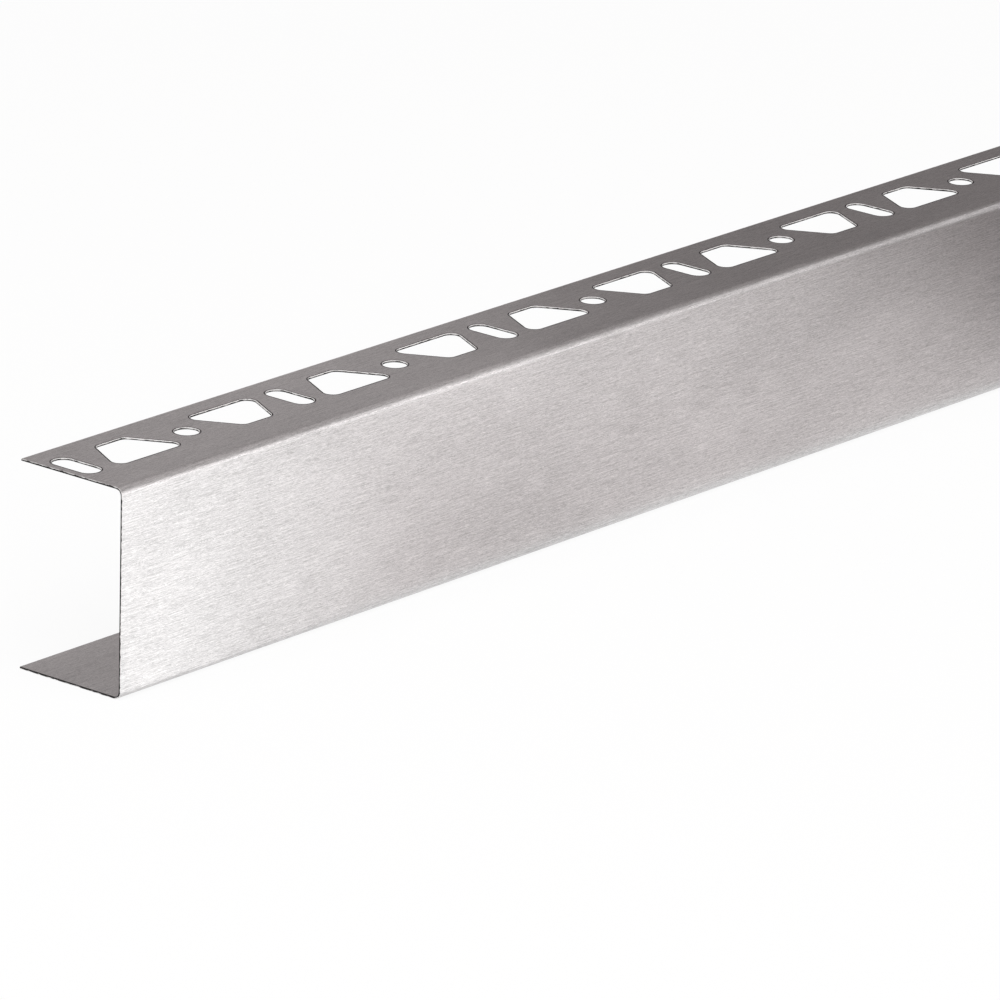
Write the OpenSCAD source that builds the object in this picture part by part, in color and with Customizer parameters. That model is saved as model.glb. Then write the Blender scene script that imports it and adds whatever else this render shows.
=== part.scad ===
// Edge profile for a backer board.
// One strip of thin sheet is folded to a U that slips over the edge of the board.
// The upper leg is punched for adhesive and screws, the web and the lower leg are plain.
// The length runs along X, the web stands upright and the legs point to +Y.
// The origin lies under the middle of the profile, on the level that it stands on.

/* [Board and sheet] */
// Thickness of the board that fits between the legs
board_thickness = 50; // [12:0.5:80]
// Thickness of the sheet
sheet_thickness = 0.5; // [0.3:0.05:1.5]
// Radius on the inside of each fold
fold_radius = 1.1; // [0.5:0.1:3]

/* [Profile] */
// Length that the profile is sold in
profile_length = 2500; // [200:10:3000]
// Width of each leg, from the outside of the web to the free edge
leg_width = 31.6; // [29:0.1:60]

/* [Punched pattern] */
// Distance from one slot to the next, shared evenly with the three holes between them
pattern_pitch = 73.24; // [70:0.01:120]
// Distance from the first end to the middle of the first slot
first_slot_distance = 5.1; // [4:0.1:60]
// Distance from the outside of the web to the middle of the slots and trapezoids
pattern_line = 19.1; // [16:0.05:21]
// Distance from the outside of the web to the middle of the round holes
round_hole_line = 18.4; // [12:0.05:24]

/* [Holes] */
// Length of a slot, across the leg
slot_length = 13.7; // [8:0.1:18]
// Width of a slot
slot_width = 5.9; // [3:0.1:7]
// Diameter of a round hole
round_hole_diameter = 6.2; // [3:0.1:10]
// Long side of a trapezoid, between its sharp corners
trapezoid_long_side = 24.4; // [18:0.1:26]
// Short side of a trapezoid, between its sharp corners
trapezoid_short_side = 9.8; // [7:0.1:14]
// Distance between the long and the short side
trapezoid_depth = 13.7; // [8:0.1:18]
// Radius of the trapezoid's corners
trapezoid_corner_radius = 2.4; // [1:0.1:2.8]

/* [Hidden] */
outer_height = board_thickness + 2 * sheet_thickness;
outer_radius = fold_radius + sheet_thickness;
punch_travel = 4 * sheet_thickness;
least_land = 2 * sheet_thickness;
curve_faces = 96;
// The holes follow each other in this order, a quarter of the pitch apart
hole_order = ["slot", "trapezoid", "round", "turned trapezoid"];
hole_widths = [slot_width, trapezoid_long_side, round_hole_diameter, trapezoid_long_side];
hole_step = pattern_pitch / len(hole_order);
last_hole = floor((profile_length - first_slot_distance) / hole_step);

// Distance from the first end to the middle of hole i
function hole_place(i) = first_slot_distance + i * hole_step;

// Whether hole i lies wholly on the profile, with the least land beside it
function hole_fits(i) =
    hole_place(i) + hole_widths[i % len(hole_order)] / 2 + least_land <= profile_length;

// Point at a part t of the way from a to b
function between(a, b, t) = a + (b - a) * t;

// Quarter ring of sheet, with the middle of the fold at the origin and the sheet towards -X and -Y
module fold_2d() {
    difference() {
        circle(r = outer_radius, $fn = curve_faces);
        circle(r = fold_radius, $fn = curve_faces);
        translate([0, -2 * outer_radius]) square([2 * outer_radius, 4 * outer_radius]);
        translate([-2 * outer_radius, 0]) square([4 * outer_radius, 2 * outer_radius]);
    }
}

// Section of the profile, with the outside of the web at x = 0 and the underside at y = 0
module section_2d() {
    leg_flat = leg_width - outer_radius;
    translate([outer_radius, 0])
        square([leg_flat, sheet_thickness]);
    translate([outer_radius, outer_height - sheet_thickness])
        square([leg_flat, sheet_thickness]);
    translate([0, outer_radius])
        square([sheet_thickness, outer_height - 2 * outer_radius]);
    translate([outer_radius, outer_radius])
        fold_2d();
    translate([outer_radius, outer_height - outer_radius])
        mirror([0, 1]) fold_2d();
}

// Slot with round ends, across the leg
module slot_2d() {
    straight = slot_length - slot_width;
    square([slot_width, straight], center = true);
    for (end = [-1, 1])
        translate([0, end * straight / 2]) circle(d = slot_width, $fn = curve_faces);
}

// Trapezoid with round corners and its long side towards -Y
module trapezoid_2d() {
    corners = [
        [-trapezoid_long_side / 2, -trapezoid_depth / 2],
        [trapezoid_long_side / 2, -trapezoid_depth / 2],
        [trapezoid_short_side / 2, trapezoid_depth / 2],
        [-trapezoid_short_side / 2, trapezoid_depth / 2]
    ];
    flank_angle = atan2(trapezoid_depth, (trapezoid_long_side - trapezoid_short_side) / 2);
    // Each entry is the angle between the two sides that meet at a corner
    inside_angles = [flank_angle, flank_angle, 180 - flank_angle, 180 - flank_angle];
    touch_points = [
        for (i = [0:3])
            let (
                corner = corners[i],
                before = corners[(i + 3) % 4],
                after = corners[(i + 1) % 4],
                run = trapezoid_corner_radius / tan(inside_angles[i] / 2)
            )
            for (other = [before, after])
                between(corner, other, run / norm(other - corner))
    ];
    polygon(touch_points);
    for (i = [0:3]) {
        // The middle of a corner's circle lies on the line that halves the corner
        halfway = (touch_points[2 * i] + touch_points[2 * i + 1]) / 2;
        reach = trapezoid_corner_radius / sin(inside_angles[i] / 2);
        translate(between(corners[i], halfway, reach / norm(halfway - corners[i])))
            circle(r = trapezoid_corner_radius, $fn = curve_faces);
    }
}

// One hole of the row, about its own middle, with the round hole set off to its own line
module hole_2d(kind) {
    if (kind == "slot") slot_2d();
    if (kind == "trapezoid") trapezoid_2d();
    if (kind == "turned trapezoid") mirror([0, 1]) trapezoid_2d();
    if (kind == "round")
        translate([0, round_hole_line - pattern_line])
            circle(d = round_hole_diameter, $fn = curve_faces);
}

// All holes of the punched leg, with the first end at x = 0 and the outside of the web at y = 0
module punching_2d() {
    for (i = [0:last_hole])
        if (hole_fits(i))
            translate([hole_place(i), pattern_line]) hole_2d(hole_order[i % len(hole_order)]);
}

// The whole profile: the folded strip less its punched holes
module edge_profile() {
    color("silver")
        translate([-profile_length / 2, -leg_width / 2, 0])
            difference() {
                rotate([90, 0, 90])
                    linear_extrude(height = profile_length) section_2d();
                translate([0, 0, outer_height - sheet_thickness / 2 - punch_travel / 2])
                    linear_extrude(height = punch_travel) punching_2d();
            }
}

edge_profile();
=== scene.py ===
"""Folded edge profile for a backer board, in brushed stainless sheet.

The strip is drawn flat with its punched holes and is then folded to a U, the way the real
profile is made. A place on the flat strip has three coordinates: the distance along the
length, the distance across from the free edge of the punched leg, and the depth below the
skin that ends up outside. Folded, the profile lies along X with its web facing -Y and its
punched leg on top. Every size is in metres.
"""

import logging
import math
from dataclasses import dataclass, field
from enum import Enum
from typing import NamedTuple

import bpy
import numpy as np
from mathutils import Matrix, Vector
from mathutils.geometry import delaunay_2d_cdt


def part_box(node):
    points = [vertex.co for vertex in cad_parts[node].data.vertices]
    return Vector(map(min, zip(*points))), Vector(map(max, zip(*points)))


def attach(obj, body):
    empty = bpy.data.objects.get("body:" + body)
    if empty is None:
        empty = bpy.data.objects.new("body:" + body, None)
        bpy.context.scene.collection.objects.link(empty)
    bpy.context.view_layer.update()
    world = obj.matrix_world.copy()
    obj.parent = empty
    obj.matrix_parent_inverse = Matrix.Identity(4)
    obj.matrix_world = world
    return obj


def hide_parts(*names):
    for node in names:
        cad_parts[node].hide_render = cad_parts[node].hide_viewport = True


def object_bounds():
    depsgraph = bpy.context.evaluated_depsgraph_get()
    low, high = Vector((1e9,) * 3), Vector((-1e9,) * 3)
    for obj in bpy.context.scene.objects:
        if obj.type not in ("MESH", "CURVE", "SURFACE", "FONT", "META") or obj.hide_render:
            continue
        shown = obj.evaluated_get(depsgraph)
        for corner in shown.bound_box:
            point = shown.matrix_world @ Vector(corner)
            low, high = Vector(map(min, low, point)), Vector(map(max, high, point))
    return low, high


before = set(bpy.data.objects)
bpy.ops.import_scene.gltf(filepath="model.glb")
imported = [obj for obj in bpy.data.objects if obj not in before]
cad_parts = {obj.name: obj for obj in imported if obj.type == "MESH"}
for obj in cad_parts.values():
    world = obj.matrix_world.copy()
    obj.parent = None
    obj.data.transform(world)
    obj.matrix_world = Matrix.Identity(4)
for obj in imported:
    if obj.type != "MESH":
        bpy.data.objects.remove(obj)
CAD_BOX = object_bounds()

NODE = "edge_profile"
BAKE_MAP = "OFBake"
GRAIN_MAP = "Grain"
CARD_MAP = "Card"
NOISE_SPAN = (0.3, 0.7)
LEAST_FADE = 0.001
WHITE = (1.0, 1.0, 1.0)
PINK = (1.03, 1.0, 1.0)
WARM = (1.06, 1.0, 1.0)

Pair = tuple[float, float]
Triple = tuple[float, float, float]
Socket = bpy.types.NodeSocket
log = logging.getLogger("edge_profile")


class HoleKind(Enum):
    """The four shapes of the punched row, in the order in which they follow each other."""

    SLOT = "slot"
    TRAPEZOID = "trapezoid"
    ROUND = "round"
    TURNED_TRAPEZOID = "turned trapezoid"


class Finish(Enum):
    """The looks of the sheet, by the number of the material slot."""

    BRUSHED = 0
    SHEARED = 1
    PUNCHED = 2


class Skin(Enum):
    """The two sides of the sheet, by the name of their row on the bake map."""

    OUTER = "outer"
    INNER = "inner"


@dataclass(frozen=True)
class Hole:
    """One hole: the hull of circles of one radius on the flat strip.

    The circles' middles go round anticlockwise in the plane of length and width.
    """

    middles: tuple[Pair, ...]
    radius: float

    def reach(self) -> Pair:
        """Returns the lowest and the highest place of the hole along the length."""
        along = [x for x, _ in self.middles]
        return min(along) - self.radius, max(along) + self.radius

    def rim(self, step: float) -> tuple[np.ndarray, np.ndarray]:
        """Walks round the hole.

        Args:
            step: The angle between two points of an arc, in radians.

        Returns:
            The middle of the arc that each point belongs to, and its direction from there.
        """
        spots: list[Pair] = []
        ways: list[Pair] = []
        for i, middle in enumerate(self.middles):
            start, end = self._turn(i)
            pieces = round((end - start) / step)
            # A full circle ends where it starts, so its last point is left out.
            for k in range(pieces + (len(self.middles) > 1)):
                angle = start + (end - start) * k / pieces
                spots.append(middle)
                ways.append((math.cos(angle), math.sin(angle)))
        return np.array(spots), np.array(ways)

    def _turn(self, i: int) -> Pair:
        """Finds the arc round one of the middles.

        Args:
            i: Number of the middle.

        Returns:
            The first and the last direction of the arc, in radians.
        """
        count = len(self.middles)
        if count == 1:
            return 0.0, 2 * math.pi
        here = np.array(self.middles[i])
        come = here - np.array(self.middles[i - 1])
        go = np.array(self.middles[(i + 1) % count]) - here
        start = math.atan2(come[1], come[0]) - math.pi / 2
        end = math.atan2(go[1], go[0]) - math.pi / 2
        return start, end + 2 * math.pi * (end <= start)


@dataclass(frozen=True)
class PunchedRow:
    """The row of holes in the punched leg, with its sizes as the punch tool sets them."""

    pitch: float = 0.07324
    first_slot_distance: float = 0.0051
    pattern_line: float = 0.0191
    round_hole_line: float = 0.0184
    slot_length: float = 0.0137
    slot_width: float = 0.0059
    round_diameter: float = 0.0062
    trapezoid_long_side: float = 0.0244
    trapezoid_short_side: float = 0.0098
    trapezoid_depth: float = 0.0137
    trapezoid_corner_radius: float = 0.0024
    least_land: float = 0.001

    def holes(self, length: float, leg_width: float) -> list[Hole]:
        """Sets out the row on the flat strip.

        Args:
            length: Length of the strip.
            leg_width: Distance from the outside of the web to the free edge.

        Returns:
            The holes from the first end to the last, as far as they lie wholly on the strip.
        """
        order = list(HoleKind)
        step = self.pitch / len(order)
        row: list[Hole] = []
        for i in range(math.floor((length - self.first_slot_distance) / step) + 1):
            kind = order[i % len(order)]
            hole = self._hole(kind, self.first_slot_distance + i * step, leg_width)
            if hole.reach()[1] + self.least_land <= length:
                row.append(hole)
        return row

    def _hole(self, kind: HoleKind, place: float, leg_width: float) -> Hole:
        """Draws one hole.

        Args:
            kind: Shape of the hole.
            place: Distance of its middle along the length.
            leg_width: Distance from the outside of the web to the free edge.

        Returns:
            The hole on the flat strip.
        """
        line = leg_width - self.pattern_line
        if kind is HoleKind.ROUND:
            line = leg_width - self.round_hole_line
            middles: tuple[Pair, ...] = ((0.0, 0.0),)
            radius = self.round_diameter / 2
        elif kind is HoleKind.SLOT:
            radius = self.slot_width / 2
            straight = self.slot_length / 2 - radius
            middles = ((0.0, -straight), (0.0, straight))
        else:
            radius = self.trapezoid_corner_radius
            middles = self._trapezoid(kind is HoleKind.TURNED_TRAPEZOID)
        return Hole(tuple((place + x, line + y) for x, y in middles), radius)

    def _trapezoid(self, turned: bool) -> tuple[Pair, ...]:
        """Sets out the middles of a trapezoid's rounded corners round its own middle.

        Args:
            turned: Whether the long side is the one nearer to the free edge.

        Returns:
            The four middles.
        """
        radius = self.trapezoid_corner_radius
        flank = math.atan2(
            self.trapezoid_depth, (self.trapezoid_long_side - self.trapezoid_short_side) / 2
        )
        wide = self.trapezoid_long_side / 2 - radius / math.tan(flank / 2)
        narrow = self.trapezoid_short_side / 2 - radius * math.tan(flank / 2)
        up = self.trapezoid_depth / 2 - radius
        low, high = (wide, narrow) if turned else (narrow, wide)
        return (-low, -up), (low, -up), (high, up), (-high, up)


class BendWalk(NamedTuple):
    """A walk along the outside of a bend, by its points.

    Each has the distance walked, the angle turned, and the way gone forward and to the side.
    """

    walked: np.ndarray
    angle: np.ndarray
    forward: np.ndarray
    sideways: np.ndarray


@dataclass(frozen=True)
class FoldedSheet:
    """The fold of the flat strip: punched leg, web and plain leg, joined by two bends.

    A bend turns gently where it starts and ends and most tightly halfway, as bent sheet does.
    """

    low: Vector
    high: Vector
    thickness: float = 0.0005
    bend_reach: float = 0.0029
    bend_ease: float = 1.0
    bend_samples: int = 512

    @property
    def length(self) -> float:
        """Length of the profile."""
        return self.high.x - self.low.x

    @property
    def leg_width(self) -> float:
        """Width of a leg, from the outside of the web."""
        return self.high.y - self.low.y

    @property
    def seams(self) -> tuple[float, float, float, float, float]:
        """Distances across the strip at which a flat stretch or a bend ends."""
        leg = self.leg_width - self.bend_reach
        web = self.high.z - self.low.z - 2 * self.bend_reach
        bend = self._bend().walked[-1]
        return tuple(float(width) for width in np.cumsum((leg, bend, web, bend, leg)))

    def _bend(self) -> BendWalk:
        """Walks along the outside of a bend.

        Returns:
            The walk from the bend's start to its end.
        """
        share = np.linspace(0, 1, self.bend_samples + 1)
        turned = share - self.bend_ease * np.sin(2 * math.pi * share) / (2 * math.pi)
        angle = math.pi / 2 * turned
        halfway = (angle[1:] + angle[:-1]) / 2
        forward = np.append(0.0, np.cumsum(np.cos(halfway)))
        sideways = np.append(0.0, np.cumsum(np.sin(halfway)))
        scale = self.bend_reach / forward[-1]
        walked = share * self.bend_samples * scale
        return BendWalk(walked, angle, forward * scale, sideways * scale)

    def fold(self, flat: np.ndarray, ways: np.ndarray) -> tuple[np.ndarray, np.ndarray]:
        """Folds places and directions of the flat strip to their places on the profile.

        Args:
            flat: Places on the flat strip, one row each.
            ways: Directions at these places, on the flat strip.

        Returns:
            The places and directions on the folded profile.
        """
        first, second, third, fourth, last = self.seams
        across, depth = flat[:, 1], flat[:, 2]
        walked, angle, forward, sideways = self._bend()
        # How far each place is past the start of either bend. Beyond a bend's end, what the
        # bend adds stays at its last value.
        upper, lower = np.clip(across - first, 0, None), np.clip(across - third, 0, None)
        y = self.high.y - np.clip(across, 0, first) - np.interp(upper, walked, forward)
        y += np.interp(lower, walked, sideways) + np.clip(across - fourth, 0, last - fourth)
        z = self.high.z - np.interp(upper, walked, sideways) - np.interp(lower, walked, forward)
        z -= np.clip(across - second, 0, third - second)
        turn = np.interp(upper, walked, angle) + np.interp(lower, walked, angle)
        inward = np.stack([np.zeros_like(turn), np.sin(turn), -np.cos(turn)], 1)
        outward = np.stack([np.zeros_like(turn), -np.cos(turn), -np.sin(turn)], 1)
        skin = np.stack([self.low.x + flat[:, 0], y, z], 1)
        turned = ways[:, 1:2] * outward + ways[:, 2:3] * inward
        turned[:, 0] = ways[:, 0]
        return skin + depth[:, None] * inward, turned


@dataclass(frozen=True)
class MapLayout:
    """Where each stretch of the strip lies on the square map that its finish is baked to.

    The skins fill the map from side to side, so that fine lines across the grain stay sharp.
    Each hole's wall has a share of one of the wall rows. In the row of an end, the rounded rim
    comes first and the sheared face after it.
    """

    pixels: int = 1024
    gap: int = 4
    skin_row: int = 446
    wall_row: int = 14
    wall_rows: int = 4
    walls_in_row: int = 35
    wall_share: float = 0.85
    edge_row: int = 8
    end_rim_part: Pair = (0.0, 0.6)
    end_face_part: Pair = (0.62, 1.0)

    def rows(self) -> dict[str, Pair]:
        """Stacks the rows of the map.

        Returns:
            The lower and the upper end of each row, as shares of the map.
        """
        heights = {skin.value: self.skin_row for skin in Skin}
        heights |= {f"wall_{i}": self.wall_row for i in range(self.wall_rows)}
        heights |= {"punched_edge": self.edge_row, "plain_edge": self.edge_row}
        heights |= {"near_end": self.edge_row, "far_end": self.edge_row}
        spans: dict[str, Pair] = {}
        low = self.gap / 2
        for name, height in heights.items():
            spans[name] = (low / self.pixels, (low + height) / self.pixels)
            low += height + self.gap
        return spans

    def wall_place(self, index: int) -> tuple[str, Pair]:
        """Finds the place of a hole's wall.

        Args:
            index: Number of the hole.

        Returns:
            Name of the row, and the part of the row's length.
        """
        row, column = divmod(index, self.walls_in_row)
        part = (column / self.walls_in_row, (column + self.wall_share) / self.walls_in_row)
        return f"wall_{row}", part

    def spots(
        self, row: str, along: np.ndarray, up: np.ndarray, part: Pair = (0.0, 1.0)
    ) -> np.ndarray:
        """Places points on the map.

        Args:
            row: Name of the row.
            along: Share of the way along the row, or along a part of it, for each point.
            up: Share of the way up the row, for each point.
            part: The part of the row that is used, as shares of its length.

        Returns:
            The two coordinates of each point on the map.
        """
        low, high = self.rows()[row]
        side = self.gap / 2 / self.pixels
        share = part[0] + (part[1] - part[0]) * along
        across = side + (1 - 2 * side) * share
        return np.stack(np.broadcast_arrays(across, low + (high - low) * up), -1)


@dataclass(frozen=True)
class Grid:
    """Points of the draft in rows and columns: their numbers and their places on the strip."""

    numbers: np.ndarray
    flat: np.ndarray

    def part(self, rows: slice | np.ndarray, columns: slice | np.ndarray) -> "Grid":
        """Returns the grid of some of the rows and columns."""
        return Grid(self.numbers[rows][:, columns], self.flat[rows][:, columns])

    def pick(self, rows: np.ndarray | int, columns: np.ndarray) -> "Grid":
        """Returns single points, each by its row and its column."""
        return Grid(self.numbers[rows, columns], self.flat[rows, columns])


@dataclass
class SheetDraft:
    """Points and faces of the sheet while it is drawn flat."""

    points: list[np.ndarray] = field(default_factory=list)
    ways: list[np.ndarray] = field(default_factory=list)
    faces: list[np.ndarray] = field(default_factory=list)
    finishes: list[Finish] = field(default_factory=list)
    bake_spots: list[np.ndarray] = field(default_factory=list)
    grain_spots: list[np.ndarray] = field(default_factory=list)
    total: int = 0

    def add_points(self, flat: np.ndarray, ways: np.ndarray) -> Grid:
        """Adds points with the directions in which the sheet faces there.

        Args:
            flat: Places on the flat strip, by row and column.
            ways: The directions, by row and column.

        Returns:
            The points as a grid.
        """
        shape = flat.shape[:-1]
        numbers = np.arange(self.total, self.total + math.prod(shape)).reshape(shape)
        self.points.append(flat.reshape(-1, 3))
        self.ways.append(ways.reshape(-1, 3))
        self.total += numbers.size
        return Grid(numbers, flat)

    def add_quads(self, grid: Grid, bake: np.ndarray, grain: np.ndarray, finish: Finish) -> None:
        """Adds the quads between the rows and columns of a grid.

        Args:
            grid: The points.
            bake: Their places on the bake map.
            grain: Their places on the grain map.
            finish: The look of the quads.
        """

        def corners(values: np.ndarray) -> np.ndarray:
            """Gathers the values at the corners of each quad."""
            around = (values[:-1, :-1], values[:-1, 1:], values[1:, 1:], values[1:, :-1])
            return np.stack(around, 2).reshape(-1, 4, *values.shape[2:])

        self.add_faces(corners(grid.numbers), corners(bake), corners(grain), finish)

    def add_faces(
        self, faces: np.ndarray, bake: np.ndarray, grain: np.ndarray, finish: Finish
    ) -> None:
        """Adds faces of one look.

        Args:
            faces: The numbers of the points at the corners of each face.
            bake: The corners' places on the bake map.
            grain: The corners' places on the grain map.
            finish: The look of the faces.
        """
        self.faces.extend(faces)
        self.finishes.extend([finish] * len(faces))
        self.bake_spots.append(bake.reshape(-1, 2))
        self.grain_spots.append(grain.reshape(-1, 2))

    def mesh(self, name: str, sheet: FoldedSheet) -> bpy.types.Mesh:
        """Folds the draft.

        Args:
            name: Name of the mesh.
            sheet: The fold.

        Returns:
            The mesh, with its two maps and its own normals.
        """
        places, ways = sheet.fold(np.concatenate(self.points), np.concatenate(self.ways))
        mesh = bpy.data.meshes.new(name)
        mesh.from_pydata(places.tolist(), [], [face.tolist() for face in self.faces])
        for label, spots in ((BAKE_MAP, self.bake_spots), (GRAIN_MAP, self.grain_spots)):
            layer = mesh.uv_layers.new(name=label)
            layer.data.foreach_set("uv", np.concatenate(spots).astype(np.float32).ravel())
        slots = np.array([finish.value for finish in self.finishes], np.int32)
        mesh.polygons.foreach_set("material_index", slots)
        mesh.shade_smooth()
        mesh.normals_split_custom_set_from_vertices(ways.tolist())
        mesh.update()
        return mesh


@dataclass(frozen=True)
class Marks:
    """Marks of one size in a finish: how long and wide, how crinkled, and how much they count."""

    length: float
    width: float
    share: float = 1.0
    detail: float = 2.0


class MaterialSketch:
    """A material while its nodes are drawn, with the steps that the finishes share."""

    def __init__(self, name: str) -> None:
        """Starts a material with the nodes that a new one comes with.

        Args:
            name: Name of the material.
        """
        self.material = bpy.data.materials.new(name)
        self.material.use_nodes = True
        self.tree = self.material.node_tree

    @property
    def shader(self) -> bpy.types.Node:
        """The surface shader that a new material comes with."""
        return next(n for n in self.tree.nodes if n.type == "BSDF_PRINCIPLED")

    def node(self, kind: str, **settings: str) -> bpy.types.Node:
        """Adds a node.

        Args:
            kind: Its kind, without the words that all shader nodes start with.
            settings: Its settings by name.

        Returns:
            The node.
        """
        made = self.tree.nodes.new(f"ShaderNode{kind}")
        for name, value in settings.items():
            setattr(made, name, value)
        return made

    def link(self, start: Socket, end: Socket) -> None:
        """Leads an output to an input."""
        self.tree.links.new(start, end)

    def map_place(self, name: str) -> Socket:
        """Returns the place on one of the mesh's maps."""
        return self.node("UVMap", uv_map=name).outputs["UV"]

    def split(self, place: Socket) -> tuple[Socket, Socket]:
        """Takes a place on a map apart.

        Args:
            place: The place.

        Returns:
            Its two coordinates.
        """
        parts = self.node("SeparateXYZ")
        self.link(place, parts.inputs["Vector"])
        return parts.outputs["X"], parts.outputs["Y"]

    def noise(self, place: Socket, marks: Marks) -> Socket:
        """Scatters marks over a map.

        Args:
            place: The place on the map.
            marks: The size of the marks.

        Returns:
            The noise value.
        """
        mapping = self.node("Mapping")
        mapping.inputs["Scale"].default_value = (1 / marks.length, 1 / marks.width, 1.0)
        self.link(place, mapping.inputs["Vector"])
        noise = self.node("TexNoise")
        noise.inputs["Scale"].default_value = 1.0
        noise.inputs["Detail"].default_value = marks.detail
        self.link(mapping.outputs["Vector"], noise.inputs["Vector"])
        return noise.outputs["Fac"]

    def combine(self, operation: str, first: Socket, second: Socket) -> Socket:
        """Works out one value from two.

        Args:
            operation: What is done, such as MULTIPLY.
            first: The first value.
            second: The second value.

        Returns:
            The result.
        """
        made = self.node("Math", operation=operation)
        self.link(first, made.inputs[0])
        self.link(second, made.inputs[1])
        return made.outputs["Value"]

    def mix(self, first: Socket, second: Socket, share: float) -> Socket:
        """Mixes two values.

        Args:
            first: The first value.
            second: The second value.
            share: How much of the second goes into the mix.

        Returns:
            The mixed value.
        """
        blend = self.node("Mix", data_type="FLOAT")
        blend.inputs["Factor"].default_value = share
        values = [s for s in blend.inputs if s.type == "VALUE"][1:]
        self.link(first, values[0])
        self.link(second, values[1])
        return next(s for s in blend.outputs if s.type == "VALUE")

    def mix_colours(self, share: Socket, first: Triple, second: Triple) -> Socket:
        """Mixes two colours.

        Args:
            share: How much of the second goes into the mix.
            first: The first colour.
            second: The second colour.

        Returns:
            The mixed colour.
        """
        blend = self.node("Mix", data_type="RGBA")
        self.link(share, blend.inputs["Factor"])
        sockets = [s for s in blend.inputs if s.type == "RGBA"]
        for socket, colour in zip(sockets, (first, second)):
            socket.default_value = (*colour, 1.0)
        return next(s for s in blend.outputs if s.type == "RGBA")

    def spread(self, value: Socket, low: float, high: float, span: Pair = NOISE_SPAN) -> Socket:
        """Spreads a value from one span to another, and holds it within that.

        Args:
            value: The value.
            low: The result at the start of the span.
            high: The result at the end of the span.
            span: Start and end of the span that the value has now.

        Returns:
            The spread value.
        """
        spread = self.node("MapRange")
        ends = {"From Min": span[0], "From Max": span[1], "To Min": low, "To Max": high}
        for name, number in ends.items():
            spread.inputs[name].default_value = number
        self.link(value, spread.inputs["Value"])
        return spread.outputs["Result"]

    def add_bump(self, height: Socket, depth: float) -> None:
        """Gives the shader's surface a relief.

        Args:
            height: The height at each place, from 0 to 1.
            depth: The real height of the relief.
        """
        bump = self.node("Bump")
        bump.inputs["Distance"].default_value = depth
        self.link(height, bump.inputs["Height"])
        self.link(bump.outputs["Normal"], self.shader.inputs["Normal"])


class GlowSketch(MaterialSketch):
    """A material that mixes a glow with a plain shader, while its nodes are drawn."""

    def __init__(self, name: str, plain: str) -> None:
        """Draws both shaders, their mix and the way out.

        Args:
            name: Name of the material.
            plain: Kind of the plain shader.
        """
        super().__init__(name)
        self.tree.nodes.clear()
        self.plain = self.node(plain)
        self.glow = self.node("Emission")
        self.blend = self.node("MixShader")
        self.link(self.plain.outputs["BSDF"], self.blend.inputs[1])
        self.link(self.glow.outputs["Emission"], self.blend.inputs[2])
        out = self.node("OutputMaterial")
        self.link(self.blend.outputs["Shader"], out.inputs["Surface"])


@dataclass(frozen=True)
class BrushedSteel:
    """Stainless sheet, brushed along the length of the profile.

    Each row of the grain is slid along by its own length, so that no marks line up.
    """

    name: str = "brushed_stainless"
    colour: Triple = (0.614, 0.604, 0.603)
    colour_swing: float = 0.52
    roughness: float = 0.3
    roughness_swing: float = 0.03
    anisotropy: float = 0.89
    turn: float = 0.25
    dashes: Marks = Marks(0.0005, 0.00013)
    streaks: Marks = Marks(0.0018, 0.00017, share=0.36)
    lines: Marks = Marks(0.009, 0.0003, share=0.22)
    clouds: Marks = Marks(0.06, 0.02, share=0.08)
    dash_depth: float = 0.00001
    tone_span: Pair = (0.36, 0.64)
    rows: Marks = Marks(30.0, 0.00015, detail=0.0)
    row_slip: float = 0.0045

    def material(self) -> bpy.types.Material:
        """Draws the finish.

        Returns:
            The finish as a material of nodes.
        """
        sketch = MaterialSketch(self.name)
        shader = sketch.shader
        shader.inputs["Metallic"].default_value = 1.0
        shader.inputs["Anisotropic"].default_value = self.anisotropy
        shader.inputs["Anisotropic Rotation"].default_value = self.turn
        place = self._slipped(sketch, sketch.map_place(GRAIN_MAP))
        dash = sketch.noise(place, self.dashes)
        tone = dash
        for marks in (self.streaks, self.lines, self.clouds):
            tone = sketch.mix(tone, sketch.noise(place, marks), marks.share)
        dark = tuple(c * (1 - self.colour_swing) for c in self.colour)
        light = tuple(c * (1 + self.colour_swing) for c in self.colour)
        share = sketch.spread(tone, 0.0, 1.0, self.tone_span)
        sketch.link(sketch.mix_colours(share, dark, light), shader.inputs["Base Color"])
        low, high = self.roughness - self.roughness_swing, self.roughness + self.roughness_swing
        sketch.link(sketch.spread(tone, high, low), shader.inputs["Roughness"])
        sketch.add_bump(dash, self.dash_depth)
        tangent = sketch.node("Tangent", direction_type="UV_MAP", uv_map=GRAIN_MAP)
        sketch.link(tangent.outputs["Tangent"], shader.inputs["Tangent"])
        return sketch.material

    def _slipped(self, sketch: MaterialSketch, place: Socket) -> Socket:
        """Slides the rows of the grain along.

        Args:
            sketch: The material.
            place: The place on the grain map.

        Returns:
            The place after the slide.
        """
        row = sketch.noise(place, self.rows)
        along, across = sketch.split(place)
        slid = sketch.node("Math", operation="MULTIPLY_ADD")
        sketch.link(row, slid.inputs[0])
        slid.inputs[1].default_value = self.row_slip
        sketch.link(along, slid.inputs[2])
        moved = sketch.node("CombineXYZ")
        sketch.link(slid.outputs["Value"], moved.inputs["X"])
        sketch.link(across, moved.inputs["Y"])
        return moved.outputs["Vector"]


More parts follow.
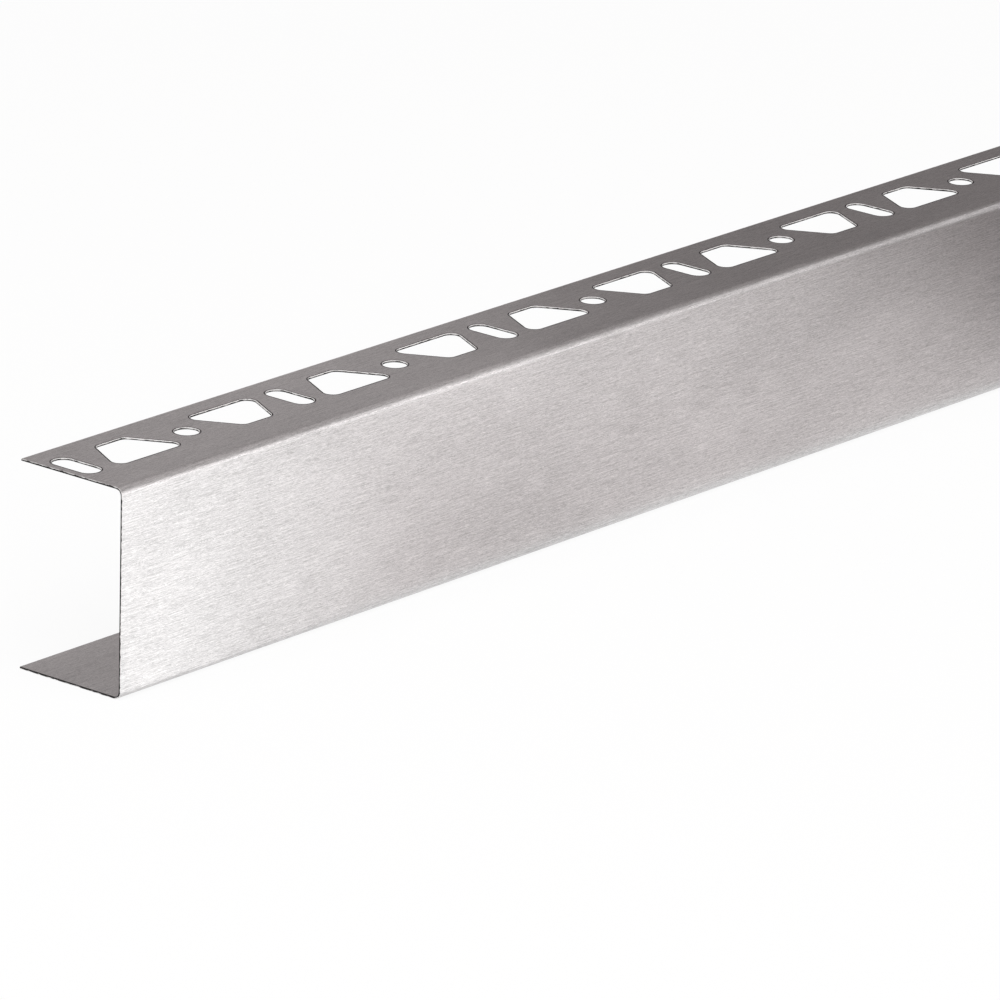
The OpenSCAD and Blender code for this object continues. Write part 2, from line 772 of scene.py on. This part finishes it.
@dataclass(frozen=True)
class CutSteel:
    """The sheet where it was sheared or punched: a burnished band below the skin, then a fracture
    band; both colours are partly painted highlight and painted shade.
    """

    name: str
    shiny_depth: float
    waver: float = 0.0004
    metallic: float = 0.4
    # The burnished band's near-white colour is partly painted highlight, and the fracture band's
    # near-black colour is partly painted shade.
    burnished_with_highlight: Triple = (0.92, 0.905, 0.9)
    fractured_with_shade: Triple = (0.02, 0.018, 0.018)
    shiny_roughness: float = 0.18
    torn_roughness: float = 0.6
    tears: Marks = Marks(0.0015, 0.0005, share=0.5, detail=3.0)
    tear_depth: float = 0.00003
    seam_span: Pair = (0.47, 0.53)

    def material(self) -> bpy.types.Material:
        """Draws the finish.

        Returns:
            The finish as a material of nodes.
        """
        sketch = MaterialSketch(self.name)
        shader = sketch.shader
        shader.inputs["Metallic"].default_value = self.metallic
        place = sketch.map_place(GRAIN_MAP)
        tear = sketch.noise(place, self.tears)
        below = sketch.split(place)[1]
        band = (self.shiny_depth - self.waver, self.shiny_depth + self.waver)
        seam = sketch.mix(sketch.spread(below, 0.0, 1.0, band), tear, self.tears.share)
        share = sketch.spread(seam, 0.0, 1.0, self.seam_span)
        # Base colour: the bands' own tones with painted highlight on the burnished band and
        # painted shade on the fracture band.
        sketch.link(sketch.mix_colours(share, self.burnished_with_highlight, self.fractured_with_shade), shader.inputs["Base Color"])
        rough = sketch.spread(share, self.shiny_roughness, self.torn_roughness, (0.0, 1.0))
        sketch.link(rough, shader.inputs["Roughness"])
        sketch.add_bump(tear, self.tear_depth)
        return sketch.material


class Section(NamedTuple):
    """The outline of the strip's section: width and depth of each point, and the way it faces.

    The outer half comes first, from the punched leg's free edge to the plain leg's.
    """

    places: np.ndarray
    ways: np.ndarray


class Stations(NamedTuple):
    """The cross-sections along the length.

    Each has its distance from the first end, the width by which the section is drawn in there,
    and the angle by which the sheet faces away from the middle of the length.
    """

    along: np.ndarray
    insets: np.ndarray
    tilts: np.ndarray


class Rings(NamedTuple):
    """The rings of points down the wall of a hole.

    Each has its distance outward from the hole's outline and its depth, and the outward and
    downward parts of the direction in which the sheet faces there.
    """

    out: np.ndarray
    depth: np.ndarray
    out_way: np.ndarray
    down_way: np.ndarray


@dataclass(frozen=True)
class HoleWall:
    """The wall of a hole: rolled in where the punch went in, with a burr where it came out, and a
    line of painted shade on the skin round its rim.
    """

    # Width of the dark line of painted shade on the skin round each hole.
    rim_shade_width: float = 0.00033
    punch_radius: float = 0.00012
    inset: float = 0.0001
    punch_steps: int = 3
    burr_radius: float = 0.00003
    burr_steps: int = 2

    def rings(self, thickness: float) -> Rings:
        """Walks down the wall, from the line of painted shade round the rim to the burr.

        Args:
            thickness: Thickness of the sheet.

        Returns:
            The rings.
        """
        punch, burr, inset = self.punch_radius, self.burr_radius, self.inset
        # The first ring starts the line of painted shade, which lies flat on the skin up to the
        # rolled rim.
        rings = [(punch + self.rim_shade_width - inset, 0.0, 0.0, -1.0)]
        for angle in np.linspace(0, math.pi / 2, self.punch_steps + 1):
            sine, cosine = math.sin(angle), math.cos(angle)
            rings.append((punch * (1 - sine) - inset, punch * (1 - cosine), -sine, -cosine))
        for angle in np.linspace(0, math.pi / 2, self.burr_steps + 1):
            sine, cosine = math.sin(angle), math.cos(angle)
            depth = thickness - burr * (1 - sine)
            rings.append((burr * (1 - cosine) - inset, depth, -cosine, sine))
        return Rings(*np.array(rings).T)


@dataclass
class EdgeProfile:
    """The whole profile: the strip with its holes, folded and finished."""

    sheet: FoldedSheet
    row: PunchedRow = PunchedRow()
    wall: HoleWall = HoleWall()
    layout: MapLayout = MapLayout()
    bend_steps: int = 16
    rim_step: float = math.radians(9)
    edge_radius: float = 0.0001
    edge_steps: int = 3
    end_radius: float = 0.00006
    end_steps: int = 2
    inner_shift: float = 1.0
    least_gap: float = 1e-7
    finishes: tuple[BrushedSteel | CutSteel, ...] = (
        BrushedSteel(),
        CutSteel("sheared_stainless", shiny_depth=0.00009),
        CutSteel("punched_stainless", shiny_depth=0.00023),
    )

    def build(self) -> bpy.types.Object:
        """Draws the strip flat, folds it and gives it its finishes.

        Returns:
            The profile as one object.
        """
        holes = self.row.holes(self.sheet.length, self.sheet.leg_width)
        draft = SheetDraft()
        grid = self._add_sections(draft, self._section(), self._stations(holes))
        self._add_skins(draft, grid)
        self._add_edges(draft, grid)
        self._add_ends(draft, grid)
        for index, hole in enumerate(holes):
            self._add_hole(draft, hole, index, grid)
        made = add_object("brushed_edge_profile", draft.mesh("folded_sheet", self.sheet))
        self._dress(made)
        log.info("%s: %d holes, %d faces", made.name, len(holes), len(made.data.polygons))
        return made

    def _dress(self, made: bpy.types.Object) -> None:
        """Gives the profile its finishes, in the order of their slots."""
        for finish in self.finishes:
            made.data.materials.append(finish.material())

    @property
    def half(self) -> int:
        """Number of points on the outer half of the section."""
        return 2 * (self.edge_steps + 1) + 2 * (self.bend_steps + 1)

    def _section(self) -> Section:
        """Walks round the section of the flat strip.

        Returns:
            Its outline.
        """
        first, second, third, fourth, last = self.sheet.seams
        radius = self.edge_radius
        angles = np.linspace(0, math.pi / 2, self.edge_steps + 1)
        start = np.stack([radius * (1 - np.cos(angles)), radius * (1 - np.sin(angles))], 1)
        start_ways = np.stack([-np.cos(angles), -np.sin(angles)], 1)
        bends = ((first, second), (third, fourth))
        across = np.concatenate([np.linspace(a, b, self.bend_steps + 1) for a, b in bends])
        skin = np.stack([across, np.zeros_like(across)], 1)
        skin_ways = np.tile((0.0, -1.0), (len(across), 1))
        end = np.stack([last - start[::-1, 0], start[::-1, 1]], 1)
        end_ways = start_ways[::-1] * (-1, 1)
        outer = np.concatenate([start, skin, end])
        outer_ways = np.concatenate([start_ways, skin_ways, end_ways])
        inner = np.stack([outer[::-1, 0], self.sheet.thickness - outer[::-1, 1]], 1)
        inner_ways = outer_ways[::-1] * (1, -1)
        return Section(np.concatenate([outer, inner]), np.concatenate([outer_ways, inner_ways]))

    def _stations(self, holes: list[Hole]) -> Stations:
        """Sets out the cross-sections along the length.

        Args:
            holes: The holes of the row.

        Returns:
            The cross-sections of both rounded ends, and one between each two holes.
        """
        radius, length = self.end_radius, self.sheet.length
        angles = np.linspace(math.pi / 2, 0, self.end_steps + 1)
        near = radius * (1 - np.sin(angles))
        between = [(a.reach()[1] + b.reach()[0]) / 2 for a, b in zip(holes, holes[1:])]
        drawn_in = radius * (1 - np.cos(angles))
        plain = np.zeros(len(between))
        return Stations(
            np.concatenate([near, between, length - near[::-1]]),
            np.concatenate([drawn_in, plain, drawn_in[::-1]]),
            np.concatenate([-angles, plain, angles[::-1]]),
        )

    def _add_sections(self, draft: SheetDraft, section: Section, stations: Stations) -> Grid:
        """Adds the points of every section along the length.

        Args:
            draft: The draft that they go into.
            section: The outline of a section.
            stations: Where the sections stand.

        Returns:
            The points, by station and by point of the outline.
        """
        shape = (len(stations.along), len(section.places), 1)
        along = np.broadcast_to(stations.along[:, None, None], shape)
        drawn = section.places[None] - stations.insets[:, None, None] * section.ways[None]
        lean = np.broadcast_to(np.sin(stations.tilts)[:, None, None], shape)
        ways = np.cos(stations.tilts)[:, None, None] * section.ways[None]
        return draft.add_points(np.concatenate([along, drawn], 2), np.concatenate([lean, ways], 2))

    def _skin_maps(self, flat: np.ndarray, skin: Skin) -> tuple[np.ndarray, np.ndarray]:
        """Places points of a skin on both maps.

        The inner skin's grain is shifted, so that it isn't the outer skin's seen from behind.

        Args:
            flat: The points' places on the flat strip.
            skin: The side of the sheet.

        Returns:
            Their places on the bake map and on the grain map.
        """
        along, across = flat[..., 0], flat[..., 1]
        shares = along / self.sheet.length, across / self.sheet.seams[-1]
        shift = self.inner_shift * (skin is Skin.INNER)
        return self.layout.spots(skin.value, *shares), np.stack([along, across + shift], -1)

    def _body(self, grid: Grid) -> slice:
        """Returns the stations of the plain stretch between the two rounded ends."""
        return slice(self.end_steps, len(grid.numbers) - self.end_steps)

    def _add_skins(self, draft: SheetDraft, grid: Grid) -> None:
        """Adds both skins from the first bend to the plain leg's free edge.

        Args:
            draft: The draft that they go into.
            grid: The points of all sections.
        """
        half, steps = self.half, self.edge_steps
        for skin, columns in (
            (Skin.OUTER, slice(steps + 1, half - steps)),
            (Skin.INNER, slice(half + steps, 2 * half - steps - 1)),
        ):
            block = grid.part(self._body(grid), columns)
            draft.add_quads(block, *self._skin_maps(block.flat, skin), Finish.BRUSHED)

    def _add_edges(self, draft: SheetDraft, grid: Grid) -> None:
        """Adds the two rounded free edges.

        Args:
            draft: The draft that they go into.
            grid: The points of all sections.
        """
        reach = self.edge_steps + 1
        around = np.arange(2 * reach)
        for row, first in (("plain_edge", self.half - reach), ("punched_edge", -reach)):
            block = grid.part(self._body(grid), first + around)
            along = block.flat[..., 0]
            spots = self.layout.spots(row, along / self.sheet.length, around / around[-1])
            draft.add_quads(block, spots, cut_grain(along, block.flat), Finish.SHEARED)

    def _add_ends(self, draft: SheetDraft, grid: Grid) -> None:
        """Adds the rounded rims and the sheared faces of both ends.

        Args:
            draft: The draft that they go into.
            grid: The points of all sections.
        """
        stations, count = grid.numbers.shape
        steps = self.end_steps
        closed = np.append(np.arange(count), 0)
        outer = np.arange(self.half)
        inner = count - 1 - outer
        for row, first, end, columns in (
            ("near_end", 0, 0, (inner, outer)),
            ("far_end", stations - steps - 1, stations - 1, (outer, inner)),
        ):
            rim = grid.part(slice(first, first + steps + 1), closed)
            along = np.arange(count + 1) / count
            up = np.linspace(0, 1, steps + 1)[:, None]
            spots = self.layout.spots(row, along, up, self.layout.end_rim_part)
            draft.add_quads(rim, spots, cut_grain(rim.flat[..., 1], rim.flat), Finish.SHEARED)
            face = grid.pick(end, np.stack(columns))
            across = face.flat[..., 1]
            shares = across / self.sheet.seams[-1], face.flat[..., 2] / self.sheet.thickness
            spots = self.layout.spots(row, *shares, self.layout.end_face_part)
            draft.add_quads(face, spots, cut_grain(across, face.flat), Finish.SHEARED)

    def _add_hole(self, draft: SheetDraft, hole: Hole, index: int, grid: Grid) -> None:
        """Adds one hole: its wall, and both skins of the leg round it.

        Args:
            draft: The draft that they go into.
            hole: The hole.
            index: Number of the hole in the row.
            grid: The points of all sections.
        """
        middles, ways = hole.rim(self.rim_step)
        rings = self.wall.rings(self.sheet.thickness)
        plan = middles[:, None] + (hole.radius + rings.out[:, None]) * ways[:, None]
        wall = draft.add_points(
            with_third(plan, rings.depth),
            with_third(rings.out_way[:, None] * ways[:, None], rings.down_way),
        )
        self._add_wall(draft, wall, rings, index)
        stations = self.end_steps + index + np.array((0, 0, 1, 1))
        above = self.edge_steps + np.array((0, 1, 1, 0))
        below = grid.numbers.shape[1] - 1 - above
        triangles = self._fill(grid.pick(stations, above).flat[:, :2], wall.flat[:, 0, :2])
        for skin, columns, ring, order in (
            (Skin.OUTER, above, 0, triangles[:, ::-1]),
            (Skin.INNER, below, -1, triangles),
        ):
            corners = grid.pick(stations, columns)
            numbers = np.concatenate([corners.numbers, wall.numbers[:, ring]])
            flat = np.concatenate([corners.flat, wall.flat[:, ring]])
            bake, grain = self._skin_maps(flat, skin)
            draft.add_faces(numbers[order], bake[order], grain[order], Finish.BRUSHED)

    def _add_wall(self, draft: SheetDraft, wall: Grid, rings: Rings, index: int) -> None:
        """Adds the wall of one hole, from the line of painted shade round its rim to its burr.

        Args:
            draft: The draft that it goes into.
            wall: The wall's points, by their place round the hole and by ring.
            rings: The rings of the wall.
            index: Number of the hole in the row.
        """
        count = len(wall.numbers)
        closed = wall.part(np.append(np.arange(count), 0), slice(None))
        steps = np.hypot(np.diff(rings.out), np.diff(rings.depth))
        down = np.append(0.0, np.cumsum(steps)) / steps.sum()
        around = np.arange(count + 1) / count
        row, part = self.layout.wall_place(index)
        spots = self.layout.spots(row, around[:, None], down, part)
        rim = closed.flat[:, -1]
        walked = np.append(0.0, np.cumsum(np.linalg.norm(np.diff(rim, axis=0), axis=1)))
        grain = cut_grain(walked[:, None] + rim[0, 0], closed.flat)
        # The line round the rim is painted shade, as dark as the fracture band at the bottom of
        # the cut.
        line = grain[:, :2].copy()
        line[..., 1] = self.sheet.thickness
        whole, first, rest = slice(None), slice(0, 2), slice(1, None)
        draft.add_quads(closed.part(whole, first), spots[:, first], line, Finish.PUNCHED)
        draft.add_quads(closed.part(whole, rest), spots[:, rest], grain[:, rest], Finish.PUNCHED)

    def _fill(self, corners: np.ndarray, rim: np.ndarray) -> np.ndarray:
        """Fills the leg between a frame of four corners and the rim of a hole.

        Args:
            corners: Distances along and across of the frame's corners.
            rim: Distances along and across of the rim's points.

        Returns:
            Triangles as numbers of the corners and the rim's points, anticlockwise.
        """
        plan = np.concatenate([corners, rim])
        middle = rim.mean(0)
        outer, count = len(corners), len(rim)
        edges = [(i, (i + 1) % outer) for i in range(outer)]
        edges += [(outer + i, outer + (i + 1) % count) for i in range(count)]
        # Distances are taken in pitches here, and points closer than the least gap would join.
        places = [Vector(p) for p in (plan - middle) / self.row.pitch]
        _, _, faces, sources, _, _ = delaunay_2d_cdt(places, edges, [], 0, self.least_gap)
        filled: list[tuple[int, ...]] = []
        for face in faces:
            named = tuple(sources[v][0] for v in face)
            # A triangle between points of the rim alone would close the hole.
            if min(named) < outer:
                a, b, c = (plan[v] for v in named)
                turn = np.cross(b - a, c - a)
                filled.append(named if turn > 0 else named[::-1])
        return np.array(filled)


def with_third(pairs: np.ndarray, third: np.ndarray) -> np.ndarray:
    """Returns an array of pairs with a third coordinate added to each."""
    return np.concatenate([pairs, np.broadcast_to(third[..., None], (*pairs.shape[:-1], 1))], -1)


def cut_grain(walked: np.ndarray, flat: np.ndarray) -> np.ndarray:
    """Returns the places on the grain map of a cut: the distance along it and the depth."""
    return np.stack([np.broadcast_to(walked, flat.shape[:-1]), flat[..., 2]], -1)


def add_object(name: str, data: bpy.types.ID) -> bpy.types.Object:
    """Puts an object into the scene.

    Args:
        name: Name of the object.
        data: Its mesh, lamp or camera.

    Returns:
        The object.
    """
    made = bpy.data.objects.new(name, data)
    bpy.context.scene.collection.objects.link(made)
    return made


@dataclass(frozen=True)
class SoftBox:
    """A flat lamp for matt surfaces, which neither the camera nor the gloss of the metal sees."""

    name: str
    place: Triple
    aim: Triple
    width: float
    height: float
    radiance: float

    def build(self) -> bpy.types.Object:
        """Hangs the lamp in its place and turns it to its aim.

        Returns:
            The lamp.
        """
        lamp = bpy.data.lights.new(self.name, "AREA")
        lamp.shape = "RECTANGLE"
        lamp.size, lamp.size_y = self.width, self.height
        lamp.energy = self.radiance * math.pi * self.width * self.height
        made = add_object(self.name, lamp)
        made.location = self.place
        way = Vector(self.aim) - Vector(self.place)
        made.rotation_euler = way.to_track_quat("-Z", "Y").to_euler()
        made.visible_camera = False
        made.visible_glossy = False
        return made


@dataclass(frozen=True)
class Card:
    """A flat card that only reflections see, of one brightness and with soft sides.

    Two of its edges, along and up, start at its corner. It fades in from there along its
    length, and may fade out at its far end and its top. A fade is a share of the card's
    length or height.
    """

    name: str
    corner: Triple
    along: Triple
    up: Triple
    brightness: float
    fade: float
    colour: Triple = WHITE
    top_fade: float = LEAST_FADE
    end_fade: float = LEAST_FADE

    def build(self) -> bpy.types.Object:
        """Stands the card in its place.

        Returns:
            The card.
        """
        corner, along, up = Vector(self.corner), Vector(self.along), Vector(self.up)
        mesh = bpy.data.meshes.new(self.name)
        points = [corner, corner + along, corner + along + up, corner + up]
        mesh.from_pydata([tuple(p) for p in points], [], [(0, 1, 2, 3)])
        layer = mesh.uv_layers.new(name=CARD_MAP)
        layer.data.foreach_set("uv", (0.0, 0.0, 1.0, 0.0, 1.0, 1.0, 0.0, 1.0))
        made = add_object(self.name, mesh)
        mesh.materials.append(self._material())
        made.visible_camera = False
        made.visible_diffuse = False
        made.visible_transmission = False
        made.visible_shadow = False
        return made

    def _material(self) -> bpy.types.Material:
        """Draws a plain glow that is clear at the soft sides.

        Returns:
            The material.
        """
        sketch = GlowSketch(self.name, "BsdfTransparent")
        sketch.glow.inputs["Color"].default_value = (*self.colour, 1.0)
        sketch.glow.inputs["Strength"].default_value = self.brightness
        along, up = sketch.split(sketch.map_place(CARD_MAP))
        shown = sketch.spread(along, 0.0, 1.0, (0.0, self.fade))
        for way, fade in ((along, self.end_fade), (up, self.top_fade)):
            far = sketch.spread(way, 1.0, 0.0, (1.0 - fade, 1.0))
            shown = sketch.combine("MULTIPLY", shown, far)
        sketch.link(shown, sketch.blend.inputs["Fac"])
        return sketch.material


@dataclass(frozen=True)
class Floor:
    """White paper under the profile, which shows as white and keeps a soft shadow."""

    name: str = "paper"
    depth: float = 0.0002
    rings: tuple[float, ...] = (2.0, 12.0, 60.0, 300.0)
    corners: int = 64
    paper: Triple = (0.9, 0.9, 0.9)
    glow: float = 0.9

    def build(self) -> bpy.types.Object:
        """Lays the paper out in rings, fine near the profile.

        Returns:
            The paper.
        """
        angles = [2 * math.pi * i / self.corners for i in range(self.corners)]
        points: list[Triple] = []
        for radius in self.rings:
            points += [(radius * math.cos(a), radius * math.sin(a), 0.0) for a in angles]
        faces: list[tuple[int, ...]] = [tuple(range(self.corners))]
        for ring in range(len(self.rings) - 1):
            for i in range(self.corners):
                a, b = ring * self.corners + i, ring * self.corners + (i + 1) % self.corners
                faces.append((a, a + self.corners, b + self.corners, b))
        mesh = bpy.data.meshes.new(self.name)
        mesh.from_pydata(points, [], faces)
        made = add_object(self.name, mesh)
        made.location.z = CAD_BOX[0].z - self.depth
        mesh.materials.append(self._material())
        return made

    def _material(self) -> bpy.types.Material:
        """Draws paper that is lit by the lamps and partly shows as plain white.

        Returns:
            The material.
        """
        sketch = GlowSketch(self.name, "BsdfDiffuse")
        sketch.plain.inputs["Color"].default_value = (*self.paper, 1.0)
        sketch.blend.inputs["Fac"].default_value = self.glow
        path = sketch.node("LightPath")
        seen = path.outputs["Is Camera Ray"]
        for name in ("Is Glossy Ray", "Is Transmission Ray"):
            seen = sketch.combine("MAXIMUM", seen, path.outputs[name])
        sketch.link(seen, sketch.glow.inputs["Strength"])
        return sketch.material


@dataclass(frozen=True)
class Camera:
    """The camera of the photograph."""

    place: Triple = (-2.65397, -1.30932, 0.67923)
    aim: Triple = (-1.11688, -0.0158, 0.01699)
    roll: float = math.radians(1.4202)
    focal_length_mm: float = 318.59
    sensor_mm: float = 36.0
    far: float = 2000.0

    def build(self) -> bpy.types.Object:
        """Puts the camera in its place and makes it the scene's own.

        Returns:
            The camera.
        """
        lens = bpy.data.cameras.new("camera")
        lens.lens = self.focal_length_mm
        lens.sensor_width = self.sensor_mm
        lens.clip_end = self.far
        made = add_object("camera", lens)
        way = Vector(self.aim) - Vector(self.place)
        turn = way.to_track_quat("-Z", "Y").to_matrix() @ Matrix.Rotation(self.roll, 3, "Z")
        made.matrix_world = Matrix.Translation(self.place) @ turn.to_4x4()
        bpy.context.scene.camera = made
        return made


@dataclass(frozen=True)
class Studio:
    """A white floor under soft light, and the camera."""

    room: Triple = (0.232, 0.213, 0.213)
    floor: Floor = Floor()
    camera: Camera = Camera()

    def build(self) -> None:
        """Sets up the light, the floor and the camera."""
        self._fill_room()
        self.floor.build()
        for light in self._lights():
            light.build()
            log.info("light %s", light.name)
        self.camera.build()
        bpy.context.scene.view_settings.view_transform = "Standard"

    def _fill_room(self) -> None:
        """Fills the room with even grey light."""
        world = bpy.data.worlds.new("room")
        world.use_nodes = True
        shade = next(n for n in world.node_tree.nodes if n.type == "BACKGROUND")
        shade.inputs["Color"].default_value = (*self.room, 1.0)
        bpy.context.scene.world = world

    def _lights(self) -> list[SoftBox | Card]:
        """Sets out what the profile is lit by and what it mirrors.

        Returns:
            The lamp, the cards in front of the profile, those on the floor and the one behind.
        """
        return [self._lamp(), *self._front_cards(), *self._floor_cards(), self._back_card()]

    def _lamp(self) -> SoftBox:
        """Returns the lamp that lights the floor."""
        return SoftBox(
            "floor_light", place=(-2.2, -1.0, 2.2), aim=(-1.1, 0.0, 0.0),
            width=3.4, height=3.4, radiance=2.8,
        )

    def _front_cards(self) -> list[Card]:
        """Sets out the cards above and in front of the profile.

        Returns:
            The card above the profile, then those in front of it from high to low.
        """
        return [
            Card(
                "crown_card", corner=(-1.3, 0.55, 0.8), along=(0.0, -0.85, 0.15),
                up=(1.17, 0.0, 0.0), brightness=0.73, fade=0.4, colour=WARM,
            ),
            Card(
                "high_card", corner=(0.2, -1.75, 0.45), along=(0.0, 1.0, 1.0),
                up=(1.2, 0.0, 0.0), brightness=0.93, fade=0.5, colour=PINK,
            ),
            Card(
                "near_card", corner=(0.13, -0.72, 0.0), along=(-0.5, -0.5, 0.0),
                up=(0.0, 0.0, 0.5), brightness=2.54, fade=0.5, colour=PINK, top_fade=0.7,
            ),
            Card(
                "far_card", corner=(-0.45, -0.54, 0.0), along=(0.5, 0.3, 0.0),
                up=(0.0, 0.0, 0.09), brightness=0.02, fade=0.3,
            ),
        ]

    def _floor_cards(self) -> list[Card]:
        """Sets out the cards on the floor in front of the web.

        Returns:
            The cards from the lowest to the highest, a tenth of a millimetre or two apart.
        """
        return [
            Card(
                "shade_card", corner=(-1.5, -0.2, 0.0001), along=(0.0, 0.183, 0.0),
                up=(1.6, 0.0, 0.0), brightness=0.752, fade=0.6, colour=WARM, top_fade=0.4,
            ),
            Card(
                "paper_card", corner=(-1.5, -0.1, 0.0002), along=(0.0, -0.9, 0.0),
                up=(1.8, 0.0, 0.0), brightness=3.22, fade=0.4, colour=PINK, top_fade=0.5,
            ),
            Card(
                "sheen_card", corner=(-1.146, -0.0165, 0.0004), along=(-0.28, 0.0, 0.0),
                up=(0.55, -0.48, 0.0), brightness=1.5, fade=0.31,
            ),
            Card(
                "dark_card", corner=(-0.9, -0.017, 0.0006), along=(0.9, 0.0, 0.0),
                up=(0.0, -0.6, 0.0), brightness=0.035, fade=0.111, colour=(1.5, 1.0, 1.0),
                end_fade=0.6,
            ),
            Card(
                "edge_card", corner=(-1.21, -0.0158, 0.0008), along=(1.3, 0.0, 0.0),
                up=(0.0, -0.0032, 0.0), brightness=0.92, fade=0.06,
            ),
        ]

    def _back_card(self) -> Card:
        """Returns the card behind the profile, which the inside of the plain leg mirrors."""
        return Card(
            "back_card", corner=(-0.868, 0.3, 0.0), along=(-0.9, 0.0, 0.0),
            up=(0.36, 0.0, 0.45), brightness=0.485, fade=0.02, colour=WARM, top_fade=0.6,
        )


def main() -> None:
    """Builds the profile and the studio round it."""
    logging.basicConfig(level=logging.INFO, format="%(name)s: %(message)s")
    profile = EdgeProfile(FoldedSheet(*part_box(NODE))).build()
    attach(profile, "root")
    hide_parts(NODE)
    Studio().build()


if __name__ == "__main__":
    main()
